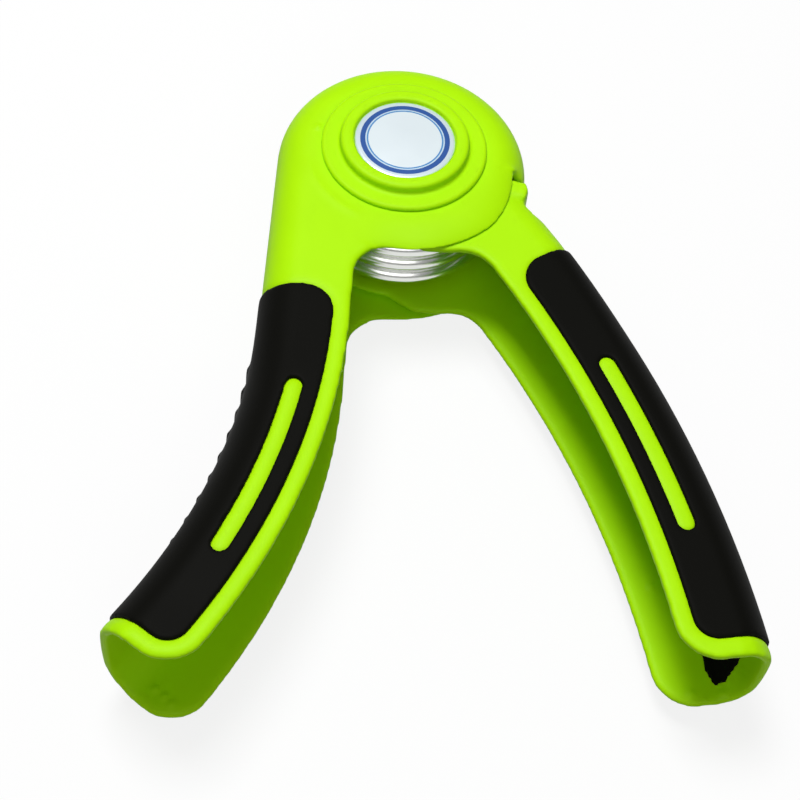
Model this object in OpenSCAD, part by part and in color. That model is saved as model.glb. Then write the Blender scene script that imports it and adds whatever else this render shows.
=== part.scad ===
// Hand grip strengthener, lying on its back.
// Two bowed channel handles turn on one pivot, and a torsion spring holds them open.
// X runs across the handles, Y towards the head, Z up and out of the front face.
// The origin is on the pivot axis, at the flat of the back cap.

/* [Head] */
// Outer radius of the drum round the pivot
head_r = 25; // [24.8:0.1:26.5]
// Radius of the outer handle's plates where they stand free
disc_r = 24.5; // [23:0.5:24.5]
// Radius of the inner handle's plates
inner_disc_r = 20; // [19.8:0.1:20.1]
// Rounding of the inner plates' rims, inside the drum's rounded corner
inner_rim_r = 1.8; // [1.6:0.1:1.8]
// Angle from +X where the skirt of the drum ends
notch_a = -9; // [-11:0.5:-7]
// Radius of the crotch between each plate and its handle
crotch_r = 7; // [5:0.5:8]
// Outer radius of the stop lug
lug_r = 27; // [26.6:0.2:28]
// Angle from +X where the stop lug ends
lug_end_a = -22; // [-23:0.5:-20]
// Gap between the lug and the skirt when the grip is open
stop_gap = 0.2; // [0.1:0.05:0.5]

/* [Handles] */
// Half the depth of the outer handle
outer_half = 13; // [12.8:0.1:14]
// Width of both handles, from the closed wall to the open edge
handle_w = 17.1; // [16:0.1:19]
// Wall of both handles
wall = 1.8; // [1.7:0.1:2]
// Running gap between the two handles' plates
plate_gap = 0.2; // [0.15:0.05:0.3]
// Rounding along the outer handle's edges
outer_edge_r = 7.4; // [6.5:0.1:7.5]
// Rounding along the inner handle's edges
inner_edge_r = 6.2; // [4.5:0.1:6.6]
// Centre of the left handle's bow, across
left_bow_x = -141; // [-144:1:-138]
// Centre of the left handle's bow, along
left_bow_y = -33.6; // [-36:0.2:-31]
// Radius of the left handle's open edge
left_bow_r = 131.2; // [129:0.2:132]
// Where the left handle ends on its bow
left_foot_a = -38; // [-40:0.5:-34]
// Centre of the right handle's bow, across
right_bow_x = -163.4; // [-166:0.2:-161]
// Centre of the right handle's bow, along
right_bow_y = -138.5; // [-141:0.5:-136]
// Radius of the right handle's open edge
right_bow_r = 212.4; // [210:0.2:214]
// Where the right handle ends on its bow
right_foot_a = 8.25; // [7:0.25:11]
// Rounding of the flanges' inner corners at the feet
foot_r = 7.5; // [5:0.5:8]

/* [Grips] */
// Depth that the grips are let into the handles
grip_inset = 0.9; // [0.6:0.1:1]
// How far the grips stand proud of the handles
grip_proud = 0.4; // [0.2:0.1:0.6]
// Bare rim left along the open edges
grip_rim = 3.2; // [2.5:0.1:4]
// Bare rim left at the feet
grip_foot_rim = 3.4; // [2.5:0.1:5]
// Rounding of the grips' corners at the feet
grip_foot_r = 4.2; // [3:0.2:5]
// Rounding of the grips' upper corners
grip_top_r = 5.8; // [3:0.2:6.5]
// Length of the left grip above its bow
left_grip_lead = 5.2; // [3:0.2:8]
// Where the right grip starts on its bow
right_grip_a = 31.1; // [30:0.1:31.5]
// Distance of each stripe's middle from the open edge
stripe_in = 8; // [6.5:0.1:8.5]
// Width of the stripe that shows through each grip
stripe_w = 3.2; // [2:0.1:4]
// Upper and lower end of the left stripe on its bow
left_stripe_a = [-10.4, -27.9];
// Upper and lower end of the right stripe on its bow
right_stripe_a = [24.5, 14.6];
// Number of finger ridges on the left grip
ridge_n = 9; // [5:1:9]
// Distance between finger ridges
ridge_pitch = 4.8; // [4.2:0.1:5]
// Radius of each finger ridge
ridge_r = 0.9; // [0.7:0.05:0.9]
// Half the length of each finger ridge
ridge_half = 5.5; // [4:0.5:6]
// Height of each finger ridge
ridge_h = 0.6; // [0.3:0.1:1]
// First finger ridge on the left bow
ridge_a = -8; // [-9:0.5:-6]
// Length of the anchor window near each foot
window_l = 9; // [5:0.5:12]
// Width of the anchor window near each foot
window_w = 8; // [5:0.5:10]
// Distance of the anchor windows from the feet
window_in = 7; // [5:0.5:10]

/* [Spring] */
// Diameter of the spring wire
wire_d = 3.6; // [3:0.1:3.6]
// Mean radius of the coil
coil_r = 18.4; // [18:0.1:18.5]
// Rise of the coil in one turn
coil_pitch = 4.15; // [4.1:0.05:4.2]
// Whole turns in the coil, besides the part between the legs
coil_turns = 3; // [2:1:3]
// Lean of the left leg away from -Y
left_leg_a = 5.6; // [4.8:0.1:5.7]
// Length of the left leg
left_leg_l = 46; // [30:1:47]
// Lean of the right leg away from -Y
right_leg_a = 12; // [10:0.5:12.5]
// Length of the right leg before its bend
right_leg_l = 16; // [15.5:0.5:17]
// Bend in the right leg
leg_bend_a = 18; // [12:1:18]
// Radius of the bend in the right leg
leg_bend_r = 20; // [15:1:25]
// Length of the right leg after its bend
right_tail_l = 26; // [15:1:28]

/* [Pivot] */
// Outer radius of the hubs inside the outer handle
hub_r = 9; // [8.8:0.1:9.4]
// Radius of the wells for the bolt's head and the nut
well_r = 7.2; // [6.9:0.1:7.4]
// Depth of the hubs below the plates
hub_l = 5.6; // [5.4:0.1:6]
// Floor of the hubs under the washers
hub_floor = 1.4; // [1.2:0.1:1.8]
// Radial play of the bushes on the hubs
bush_play = 0.05; // [0.02:0.01:0.1]
// Wall of the bushes
bush_wall = 1.35; // [1:0.05:1.6]
// Radius of the bushes' flanges
bush_flange_r = 12; // [11.5:0.1:12.5]
// Thickness of the bushes' flanges
bush_flange_t = 0.6; // [0.4:0.1:0.8]
// Outer radius of the sleeve between the hubs
sleeve_r = 5; // [4.4:0.1:5.4]
// Gap between the spool and the coil round it
spool_gap_out = 1.2; // [1:0.1:1.6]
// Wall of the spool
spool_wall = 1.8; // [1.4:0.1:2]
// Clearance of the spool round the sleeve
spool_play = 0.1; // [0.05:0.05:0.2]
// Radius of the bolt's shank
bolt_r = 3; // [2.5:0.1:3.2]
// Clearance round the bolt
bolt_play = 0.1; // [0.05:0.05:0.2]
// Width across the flats of the bolt's head and of the nut
hex_af = 10; // [9:0.5:10.5]
// Height of the bolt's head
bolt_head_h = 4; // [3:0.2:4.2]
// Height of the nut's hexagon
nut_h = 3.6; // [3:0.2:3.8]
// Height of the nut's locking collar
nut_collar_h = 0.8; // [0.4:0.1:1]
// How far the nut's locking collar stands in from its flats
nut_collar_in = 0.4; // [0.2:0.1:0.8]
// Radius of the washers
washer_r = 6.4; // [6:0.1:6.7]
// Thickness of the washers
washer_t = 1.2; // [0.8:0.1:1.2]

/* [Caps and badge] */
// Radius of the caps' lower step
cap_r = 16.5; // [15:0.5:17.5]
// Height of the caps' lower step
cap_step_h = 1; // [0.8:0.1:1.6]
// Radius of the caps' upper step
cap_top_r = 12.8; // [12.2:0.1:13.5]
// Height of the caps' upper step
cap_top_h = 2; // [1.8:0.1:2.5]
// Rounding of the caps' lower step
cap_step_edge_r = 0.5; // [0.3:0.1:0.7]
// Rounding of the caps' upper step
cap_edge_r = 0.8; // [0.4:0.1:0.9]
// Length of the spigot under each cap
spigot_l = 2; // [1:0.2:2.4]
// Wall of the spigot under each cap
spigot_wall = 0.7; // [0.5:0.1:0.9]
// Radius of the badge
badge_r = 10; // [9:0.1:10.5]
// Thickness of the badge
badge_t = 0.6; // [0.4:0.1:0.8]
// Depth of the badge's face below the cap
badge_deep = 0.7; // [0.3:0.1:0.8]
// Clearance round the badge
badge_play = 0.1; // [0.05:0.05:0.2]

/* [Hidden] */
$fn = 96;

// How far two curves cross where they would only touch
bite = 0.02;
// Extra depth of the inner handle's plates, which keeps their seams off the web's
plate_lap = 0.05;
// How far the free plates lap into the drum, in degrees
notch_lap = 0.3;
// The middle plane's height over the flat of the back cap
mid = outer_half + cap_step_h + cap_top_h;
// Inner faces of the outer plates, both faces of the inner handle's webs, and its plates' inner face
in_half = outer_half - wall;
inner_half = in_half - plate_gap;
coil_half = inner_half - wall;
plate_z = coil_half - plate_lap;
// The closed walls' radii on the two bows
left_wall_r = left_bow_r - handle_w;
right_wall_r = right_bow_r + handle_w;
// The straight link is tangent to the drum and to the left bow's closed wall
left_d = norm([left_bow_x, left_bow_y]);
link_l = sqrt(pow(left_d, 2) - pow(head_r + left_wall_r, 2));
link_a = 180 + atan2(left_bow_y, left_bow_x) - acos((head_r + left_wall_r) / left_d);
// The open edge of the link, across its own frame
link_edge = handle_w - head_r;
// The stop lug's end face
stop_a = notch_a - stop_gap / head_r * 180 / PI;
// Centre of the left crotch, in the link's frame
left_crotch_x = link_edge + crotch_r - bite;
left_crotch_d = disc_r + crotch_r - bite;
left_crotch = [left_crotch_x, -sqrt(pow(left_crotch_d, 2) - pow(left_crotch_x, 2))];
// Centre of the right crotch: outside the inner disc and inside the right bow's open edge
right_d = norm([right_bow_x, right_bow_y]);
right_crotch_d = inner_disc_r + crotch_r - bite;
right_crotch_r = right_bow_r - crotch_r - bite;
right_axis = [right_bow_x, right_bow_y] / right_d;
right_along = (pow(right_crotch_d, 2) - pow(right_crotch_r, 2) + pow(right_d, 2))
              / (2 * right_d);
right_across = sqrt(pow(right_crotch_d, 2) - pow(right_along, 2));
right_crotch = right_along * right_axis + right_across * [-right_axis[1], right_axis[0]];
right_crotch_u = (right_crotch - [right_bow_x, right_bow_y]) / right_crotch_r;
// Direction of the fill that closes the crotch behind its round, in degrees
right_crotch_fill_a = 60;
// How far the inner channel runs on past the grip's top, in degrees
right_run_over_a = 8;
// Rings along the wire that count as its own neighbours
self_skip = 18;
// How far a corner's cutter reaches past its round
nook_reach = 5;
// Room that keeps cutters past the faces they cut
past = 1;
far = 60;
// Grip edges on the bows
grip_w = handle_w - grip_rim;
left_grip_r = left_bow_r - grip_rim;
right_grip_r = right_bow_r + grip_rim;
left_grip_a = left_foot_a + grip_foot_rim / left_grip_r * 180 / PI;
right_grip_end_a = right_foot_a + grip_foot_rim / right_grip_r * 180 / PI;
left_stripe_r = left_bow_r - stripe_in;
right_stripe_r = right_bow_r + stripe_in;
// Room beside the right leg, lap of the channel on the inner disc, skin left in the lug's room
leg_room = 2.4;
lug_lap = 2;
lug_skin = 0.1;
// How far the lug's join stands above its end, in degrees
lug_join_over_a = 4.5;
// Room inside the lug for the right leg, and where the lug joins the channel
leg_room_r = coil_r + wire_d / 2 + leg_room;
lug_room_r = lug_r - wall;
lug_in_r = inner_disc_r - lug_lap;
lug_start_r = inner_disc_r - inner_rim_r - lug_lap;
lug_room_half = coil_half - lug_skin;
lug_room_a = 6;
lug_face_a = 2.6;
lug_join_a = lug_end_a + lug_join_over_a;
// Levels in the pivot from the middle plane, and the spool's radius
hub_z = in_half - hub_l;
spool_r = coil_r - wire_d / 2 - spool_gap_out;
washer_z = hub_z + hub_floor;
bolt_z = washer_z + washer_t;
bush_r = hub_r + bush_play + bush_wall;
hole_r = bolt_r + bolt_play;
badge_z = outer_half + cap_step_h + cap_top_h - badge_deep - badge_t;
web_t = 2;
collar_wall = 1.8;
collar_gap = 0.2;
spool_gap = 0.6;
core_l = 0.1;

// Unit vector at an angle
function dir(a) = [cos(a), sin(a)];
// Third coordinate added to a flat point
function lift(p, z) = [p[0], p[1], z];

// Everything is drawn about the middle plane and raised onto the back cap
module raised() {
  translate([0, 0, mid]) children();
}

// The link's own frame: its closed wall stands at x = -head_r and it runs down from y = 0
module in_link() {
  rotate([0, 0, link_a]) children();
}

// Channel section with its closed wall at x = 0, rounded along that wall
module section(w, half, r) {
  union() {
    translate([0, r - half]) square([w, 2 * (half - r)]);
    translate([r, -half]) square([w - r, 2 * half]);
    for (s = [-1, 1])
      translate([r, s * (half - r)]) intersection() {
        circle(r);
        translate([-r, -r]) square([r + bite, 2 * r]);
      }
  }
}

// Sweeps a section down the left handle, from the link to the foot
module left_run(a0, lead) {
  in_link() union() {
    translate([-head_r - left_wall_r, -link_l, 0])
      mirror([0, 1, 0])
        rotate_extrude(angle = link_a - a0)
          translate([left_wall_r, 0]) children();
    translate([-head_r, lead - link_l, 0])
      rotate([90, 0, 0]) linear_extrude(lead) children();
  }
}

// Sweeps a section along the right bow
module right_run(a0, a1) {
  translate([right_bow_x, right_bow_y, 0])
    rotate([0, 0, a0])
      rotate_extrude(angle = a1 - a0)
        translate([right_wall_r, 0]) mirror([1, 0]) children();
}

// Cutter that rounds a corner whose arc has centre c and touches along u and v
module nook(c, u, v, r) {
  reach = r + nook_reach;
  linear_extrude(2 * far, center = true) difference() {
    polygon([c, c + reach * u, c + reach * (u + v), c + reach * v]);
    translate(c + bite * (u + v)) circle(r);
  }
}

// Rounded inner corner on the left bow, at radius ro and angle a
module left_nook(ro, a, r) {
  d = a + asin(r / (ro - r));
  translate([left_bow_x, left_bow_y, 0]) nook((ro - r) * dir(d), dir(d), dir(a - 90), r);
}

// Rounded inner corner on the right bow, at radius ri and angle a, facing s
module right_nook(ri, a, r, s) {
  d = a - s * asin(r / (ri + r));
  translate([right_bow_x, right_bow_y, 0]) nook((ri + r) * dir(d), -dir(d), dir(a + s * 90), r);
}

// Stripe along a bow of radius r between two angles, with round ends
module stripe(x, y, r, ends) {
  tip = stripe_w / 2 / r * 180 / PI;
  translate([x, y, 0]) union() {
    rotate([0, 0, ends[1] + tip])
      rotate_extrude(angle = ends[0] - ends[1] - 2 * tip)
        translate([r - stripe_w / 2, -far / 2]) square([stripe_w, far]);
    for (a = [ends[0] - tip, ends[1] + tip])
      translate(lift(r * dir(a), 0)) cylinder(r = stripe_w / 2 + bite, h = far, center = true);
  }
}

// Channel section with its hollow taken out
module shell_section(w, half, r) {
  difference() {
    section(w, half, r);
    translate([wall, 0]) section(w, half - wall, r - wall);
  }
}

// Two flat plates at the faces of a handle, cut to a plan
module plates(half, t = wall) {
  for (s = [0, 1])
    mirror([0, 0, s]) translate([0, 0, half - t]) linear_extrude(t) children();
}

// What the grip leaves of the handle
module grip_core(half, r) {
  translate([grip_inset, 0]) section(grip_w, half - grip_inset, r - grip_inset);
}

// Grip section from the handle's recess outwards, grown by e past its own skin
module grip_section(half, r, e) {
  g = grip_proud + e;
  difference() {
    translate([-g, 0]) section(grip_w + g, half + g, r + g);
    grip_core(half, r);
  }
}

// Plug of grip material through a window in the closed wall
module plug_section() {
  translate([grip_inset - core_l, -window_w / 2]) square([wall - grip_inset + core_l, window_w]);
}

// Left grip without ridges, grown by e outwards
module left_sheath(e) {
  w0 = left_foot_a + window_in / left_wall_r * 180 / PI;
  union() {
    difference() {
      left_run(left_grip_a, left_grip_lead) grip_section(outer_half, outer_edge_r, e);
      left_nook(left_grip_r, left_grip_a, grip_foot_r);
      in_link() nook([link_edge - grip_rim - grip_top_r, left_grip_lead - link_l - grip_top_r],
                     [1, 0], [0, 1], grip_top_r);
      stripe(left_bow_x, left_bow_y, left_stripe_r, left_stripe_a);
    }
    translate([left_bow_x, left_bow_y, 0])
      rotate([0, 0, w0])
        rotate_extrude(angle = window_l / left_wall_r * 180 / PI)
          translate([left_wall_r, 0]) plug_section();
  }
}

// Right grip, grown by e outwards
module right_sheath(e) {
  w0 = right_foot_a + window_in / right_wall_r * 180 / PI;
  union() {
    difference() {
      right_run(right_grip_end_a, right_grip_a) grip_section(inner_half, inner_edge_r, e);
      right_nook(right_grip_r, right_grip_end_a, grip_foot_r, -1);
      right_nook(right_grip_r, right_grip_a, grip_top_r, 1);
      stripe(right_bow_x, right_bow_y, right_stripe_r, right_stripe_a);
    }
    right_run(w0, w0 + window_l / right_wall_r * 180 / PI) plug_section();
  }
}

// Plan of the outer plates below the drum, in the link's frame: the free disc and the crotch
module left_plan() {
  intersection() {
    circle(disc_r);
    polygon([[0, 0], [outer_edge_r - head_r, 0], [outer_edge_r - head_r, -far], [far, -far],
             far * dir(notch_a - link_a + notch_lap)]);
  }
  difference() {
    polygon([[link_edge - past, left_crotch[1]], left_crotch,
             left_crotch * (disc_r - past) / (disc_r + crotch_r),
             [link_edge - past, left_crotch[1] / 2]]);
    translate(left_crotch) circle(crotch_r);
  }
}

// Hub under one plate, for the inner handle's bush to turn on
module hub() {
  translate([0, 0, hub_z]) cylinder(r = hub_r, h = in_half + wall / 2 - hub_z);
}

// Outer handle: two plates, the drum's skirt, the link and the bowed channel in one piece
module left_handle() {
  color("#b4f000") raised() difference() {
    union() {
      left_run(left_foot_a, link_l) shell_section(handle_w, outer_half, outer_edge_r);
      in_link() mirror([1, 0, 0])
        rotate_extrude(angle = 180 + link_a - notch_a)
          translate([head_r, 0]) mirror([1, 0])
            shell_section(head_r - bite, outer_half, outer_edge_r);
      in_link() plates(outer_half) left_plan();
      hub();
      mirror([0, 0, 1]) hub();
    }
    for (s = [0, 1]) mirror([0, 0, s]) translate([0, 0, washer_z]) cylinder(r = well_r, h = far);
    cylinder(r = hole_r, h = far, center = true);
    left_nook(left_bow_r, left_foot_a, foot_r);
    left_sheath(past);
  }
}

// Ring sector of a half section, from the stop face down through an angle
module sector(a) {
  rotate([0, 0, stop_a]) mirror([0, 1, 0]) rotate_extrude(angle = a) children();
}

// Round part of the inner plates, with rims that clear the drum's rounded corner
module inner_discs() {
  for (s = [0, 1])
    mirror([0, 0, s]) rotate([0, 0, stop_a]) rotate_extrude() union() {
      translate([0, plate_z]) square([inner_disc_r - inner_rim_r, inner_half - plate_z]);
      translate([0, plate_z]) square([inner_disc_r, inner_half - inner_rim_r - plate_z]);
      translate([inner_disc_r - inner_rim_r, inner_half - inner_rim_r]) intersection() {
        circle(inner_rim_r);
        square(inner_rim_r);
      }
    }
}

// Plan of the inner plates outside the round part: the lug and the crotch
module right_plan() {
  rotate(stop_a) intersection() {
    circle(lug_r);
    polygon([[lug_start_r, 0], [far, 0], far * dir(lug_end_a - stop_a),
             lug_start_r * dir(lug_end_a - stop_a)]);
  }
  difference() {
    polygon([right_crotch * (inner_disc_r - past) / right_crotch_d, right_crotch,
             right_crotch + (crotch_r + past) * right_crotch_u,
             right_crotch + 2 * (crotch_r + past) * dir(right_crotch_fill_a)]);
    translate(right_crotch) circle(crotch_r);
  }
}

// Inner handle: two plates, the stop lug and the bowed channel in one piece
module right_handle() {
  color("#b4f000") raised() difference() {
    union() {
      difference() {
        right_run(right_foot_a, right_grip_a + right_run_over_a)
          shell_section(handle_w, inner_half, inner_edge_r);
        cylinder(r = lug_in_r, h = far, center = true);
        rotate([0, 0, lug_join_a])
          translate([-far, 0, -far]) cube([2 * far, far, 2 * far]);
        sector(stop_a - lug_end_a + lug_room_a)
          translate([hub_r, -lug_room_half]) square([lug_room_r - hub_r, 2 * lug_room_half]);
      }
      plates(inner_half, wall + plate_lap) right_plan();
      inner_discs();
      sector(stop_a - lug_end_a - past / 2)
        translate([lug_room_r, -inner_half]) square([wall, 2 * inner_half]);
      sector(lug_face_a)
        translate([leg_room_r, -inner_half]) square([lug_r - leg_room_r, 2 * inner_half]);
    }
    cylinder(r = bush_r, h = far, center = true);
    right_nook(right_bow_r, right_foot_a, foot_r, -1);
    right_sheath(past);
  }
}

// One finger ridge: a round bar sunk in the grip's skin
module ridge() {
  translate([left_wall_r - grip_proud + ridge_r - ridge_h, 0, 0])
    cylinder(r = ridge_r, h = 2 * ridge_half, center = true);
}

// Soft grip let into the outer handle, with finger ridges over its closed wall
module left_grip() {
  color("#0c0d0a") raised() union() {
    left_sheath(0);
    for (i = [0 : ridge_n - 1])
      translate([left_bow_x, left_bow_y, 0])
        rotate([0, 0, ridge_a - i * ridge_pitch / left_wall_r * 180 / PI]) ridge();
  }
}

// Soft grip let into the inner handle
module right_grip() {
  color("#0c0d0a") raised() right_sheath(0);
}

// The spring is one wire: left leg, coil, right leg with its bend
ring_n = 14;
step_a = 10;
coil_a0 = 180 - left_leg_a;
coil_sweep = coil_a0 - right_leg_a + 360 * coil_turns;
coil_steps = ceil(coil_sweep / step_a);
coil_top = coil_sweep / 360 * coil_pitch / 2;
coil_side = -1;
function coil_point(i) =
  let (a = coil_a0 - coil_sweep * i / coil_steps)
  lift(coil_r * dir(a), coil_side * coil_top * (1 - 2 * i / coil_steps));
left_start = lift(coil_r * dir(coil_a0), coil_side * coil_top);
left_tip = left_start + left_leg_l * lift(dir(coil_a0 + 90), 0);
right_start = lift(coil_r * dir(right_leg_a), -coil_side * coil_top);
right_knee = right_start + right_leg_l * lift(dir(right_leg_a - 90), 0);
knee_centre = right_knee + leg_bend_r * lift(dir(right_leg_a), 0);
bend_steps = 6;
function knee_point(i) =
  knee_centre - leg_bend_r * lift(dir(right_leg_a + leg_bend_a * i / bend_steps), 0);
right_tip = knee_point(bend_steps)
            + right_tail_l * lift(dir(right_leg_a + leg_bend_a - 90), 0);
wire = concat([left_tip], [left_start + wire_d * lift(dir(coil_a0 + 90), 0)],
              [for (i = [0 : coil_steps]) coil_point(i)],
              [for (i = [0 : bend_steps]) knee_point(i)], [right_tip]);
wire_n = len(wire);
function heading(i) =
  let (p = wire[max(i - 1, 0)], q = wire[min(i + 1, wire_n - 1)]) (q - p) / norm(q - p);
function ring(i) =
  let (t = heading(i), s = cross(t, [0, 0, 1]) / norm(cross(t, [0, 0, 1])), u = cross(s, t))
  [for (k = [0 : ring_n - 1])
    wire[i] + wire_d / 2 * (cos(360 * k / ring_n) * s + sin(360 * k / ring_n) * u)];
coil_gap = min([for (i = [2 : coil_steps + 2], j = [i + self_skip : 1 : wire_n - 1])
                norm(wire[i] - wire[j])]) - wire_d;
echo(least_gap_of_coil_mm = coil_gap);

// Spring wound from one length of wire
module torsion_spring() {
  skin = [for (i = [0 : wire_n - 1]) each ring(i)];
  walls = [for (i = [0 : wire_n - 2], k = [0 : ring_n - 1])
    let (a = i * ring_n + k, b = i * ring_n + (k + 1) % ring_n)
    each [[a, b, a + ring_n], [b, b + ring_n, a + ring_n]]];
  ends = [for (k = [1 : ring_n - 2])
    each [[0, k + 1, k],
          [ring_n * (wire_n - 1), ring_n * (wire_n - 1) + k, ring_n * (wire_n - 1) + k + 1]]];
  color("#c8c8c8") raised() polyhedron(points = skin, faces = concat(walls, ends));
}

// Spool that fills the coil and keeps it round
module spring_spool() {
  h = coil_half - spool_gap;
  color("#202020") raised() union() {
    difference() {
      cylinder(r = spool_r, h = 2 * h, center = true);
      cylinder(r = spool_r - spool_wall, h = far, center = true);
    }
    difference() {
      union() {
        cylinder(r = spool_r - spool_wall / 2, h = web_t, center = true);
        cylinder(r = sleeve_r + spool_play + collar_wall, h = 2 * (hub_z - collar_gap),
                 center = true);
      }
      cylinder(r = sleeve_r + spool_play, h = far, center = true);
    }
  }
}

// Steel sleeve that holds the two hubs apart
module pivot_sleeve() {
  color("#9a9a9a") raised() difference() {
    cylinder(r = sleeve_r, h = 2 * hub_z, center = true);
    cylinder(r = hole_r, h = far, center = true);
  }
}

// Hexagonal bolt through the whole head
module pivot_bolt() {
  color("#b0b0b0") raised() union() {
    translate([0, 0, bolt_z])
      linear_extrude(bolt_head_h) circle(r = hex_af / sqrt(3), $fn = 6);
    translate([0, 0, -bolt_z - nut_h - nut_collar_h])
      cylinder(r = bolt_r, h = 2 * bolt_z + nut_h + nut_collar_h);
  }
}

// Self-locking nut with its collar
module lock_nut() {
  color("#b0b0b0") raised() mirror([0, 0, 1]) translate([0, 0, bolt_z]) difference() {
    union() {
      linear_extrude(nut_h) circle(r = hex_af / sqrt(3), $fn = 6);
      cylinder(r = hex_af / 2 - nut_collar_in, h = nut_h + nut_collar_h);
    }
    cylinder(r = bolt_r, h = far, center = true);
  }
}

// Flat washer on a hub's floor
module washer() {
  translate([0, 0, washer_z]) difference() {
    cylinder(r = washer_r, h = washer_t);
    cylinder(r = hole_r, h = far, center = true);
  }
}

// Washer under the bolt's head
module front_washer() {
  color("#a8a8a8") raised() washer();
}

// Washer under the nut
module back_washer() {
  color("#a8a8a8") raised() mirror([0, 0, 1]) washer();
}

// Flanged bush pressed into one plate of the inner handle
module bush() {
  translate([0, 0, plate_z - bush_flange_t]) difference() {
    union() {
      cylinder(r = bush_flange_r, h = bush_flange_t);
      cylinder(r = bush_r, h = bush_flange_t + inner_half - plate_z);
    }
    cylinder(r = hub_r + bush_play, h = far, center = true);
  }
}

// Bush in the front plate
module front_bush() {
  color("#e8e4d8") raised() bush();
}

// Bush in the back plate
module back_bush() {
  color("#e8e4d8") raised() mirror([0, 0, 1]) bush();
}

// Step with a rounded rim, drawn as half a section
module step_section(r, h, e) {
  union() {
    square([r, h - e]);
    square([r - e, h]);
    translate([r - e, h - e]) circle(e);
  }
}

// Two-step cap on a spigot that presses into the hub's well
module cap() {
  translate([0, 0, outer_half]) union() {
    rotate_extrude() union() {
      step_section(cap_r, cap_step_h, cap_step_edge_r);
      step_section(cap_top_r, cap_step_h + cap_top_h, cap_edge_r);
    }
    difference() {
      translate([0, 0, -spigot_l]) cylinder(r = well_r, h = spigot_l + cap_step_h / 2);
      translate([0, 0, -far]) cylinder(r = well_r - spigot_wall, h = far);
    }
  }
}

// Front cap with a round seat for the badge
module front_cap() {
  color("#b4f000") raised() difference() {
    cap();
    translate([0, 0, badge_z]) cylinder(r = badge_r + badge_play, h = far);
  }
}

// Plain back cap, which the grip rests on
module back_cap() {
  color("#b4f000") raised() mirror([0, 0, 1]) cap();
}

// Round badge on the front cap's seat
module front_badge() {
  color("#d8dce0") raised() translate([0, 0, badge_z]) cylinder(r = badge_r, h = badge_t);
}

left_handle();
right_handle();
left_grip();
right_grip();
torsion_spring();
spring_spool();
pivot_sleeve();
pivot_bolt();
lock_nut();
front_washer();
back_washer();
front_bush();
back_bush();
front_cap();
back_cap();
front_badge();
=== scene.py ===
"""Hand grip strengthener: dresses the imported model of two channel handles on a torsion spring."""

import math

import bpy
from bpy.props import FloatProperty, FloatVectorProperty, IntProperty, PointerProperty
from mathutils import Matrix, Vector


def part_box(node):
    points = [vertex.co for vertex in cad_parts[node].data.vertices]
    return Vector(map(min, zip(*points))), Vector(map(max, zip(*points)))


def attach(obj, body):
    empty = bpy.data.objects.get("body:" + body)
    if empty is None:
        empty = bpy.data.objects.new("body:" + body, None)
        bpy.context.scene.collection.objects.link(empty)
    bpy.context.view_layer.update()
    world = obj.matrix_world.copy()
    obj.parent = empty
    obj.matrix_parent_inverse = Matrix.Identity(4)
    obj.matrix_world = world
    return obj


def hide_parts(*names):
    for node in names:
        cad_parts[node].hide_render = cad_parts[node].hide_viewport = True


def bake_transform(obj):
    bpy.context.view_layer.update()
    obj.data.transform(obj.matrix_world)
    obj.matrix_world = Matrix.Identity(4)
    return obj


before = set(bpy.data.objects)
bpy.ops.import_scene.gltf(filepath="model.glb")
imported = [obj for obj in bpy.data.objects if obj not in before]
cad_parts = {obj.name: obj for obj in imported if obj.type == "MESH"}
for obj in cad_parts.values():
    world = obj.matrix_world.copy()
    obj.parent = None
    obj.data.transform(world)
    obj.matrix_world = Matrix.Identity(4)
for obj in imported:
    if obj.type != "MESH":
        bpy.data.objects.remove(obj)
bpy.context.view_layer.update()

bl_info = {
    "name": "Hand grip strengthener",
    "version": (1, 0, 0),
    "blender": (4, 5, 0),
    "location": "View3D > Sidebar > Hand grip",
    "description": "Dresses a hand grip's construction with moulded, rubber and spring finishes",
    "category": "Object",
}

MM = 0.001
COIL_LOW, COIL_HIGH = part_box("torsion_spring")
# The middle plane between the front and back faces
MID = (COIL_LOW.z + COIL_HIGH.z) / 2
BADGE_LOW, BADGE_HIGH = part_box("front_badge")
BADGE_R = (BADGE_HIGH.x - BADGE_LOW.x) / 2

# Bows of the two handles: centre, the closed wall's radius, which way the open edge lies, the
# angles between which the closed wall's crown runs out, in degrees, and half the depth
BOWS = {
    "left": (Vector((-141 * MM, -33.6 * MM)), 114.1 * MM, 1, (-12, -3), 13 * MM),
    "right": (Vector((-163.4 * MM, -138.5 * MM)), 229.5 * MM, -1, (25, 33), 11 * MM),
}
# How far into the channel the crown fades out, and the most that it grows past the faces
CROWN_REACH = 10 * MM
CROWN_MOST = 1.1

# Head: the flat top's radius, the free disc's radius, its inner face above the middle plane, the
# handles' wall thickness, and the radius that the rim narrows to at the drum's notch
TOP_R = 17.6 * MM
DISC_R = 24.5 * MM
DISC_IN = 11.2 * MM
DISC_T = 1.8 * MM
RIM_NOTCH_R = 22.4 * MM
# Angles from +X, in degrees: the drum's notch, where the rim is full size, and where its fall ends
NOTCH_A = -9
RIM_FULL_A = -50
FALL_OUT_A = (-85, -112)
# The most of its thickness that the rim loses; then how far the notch is softened: round it in
# degrees, inwards from the rim and down from the face
RIM_LOSS = 0.85
NOTCH_SPAN = 7
NOTCH_IN = 2.5 * MM
NOTCH_DOWN = 2 * MM
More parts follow.
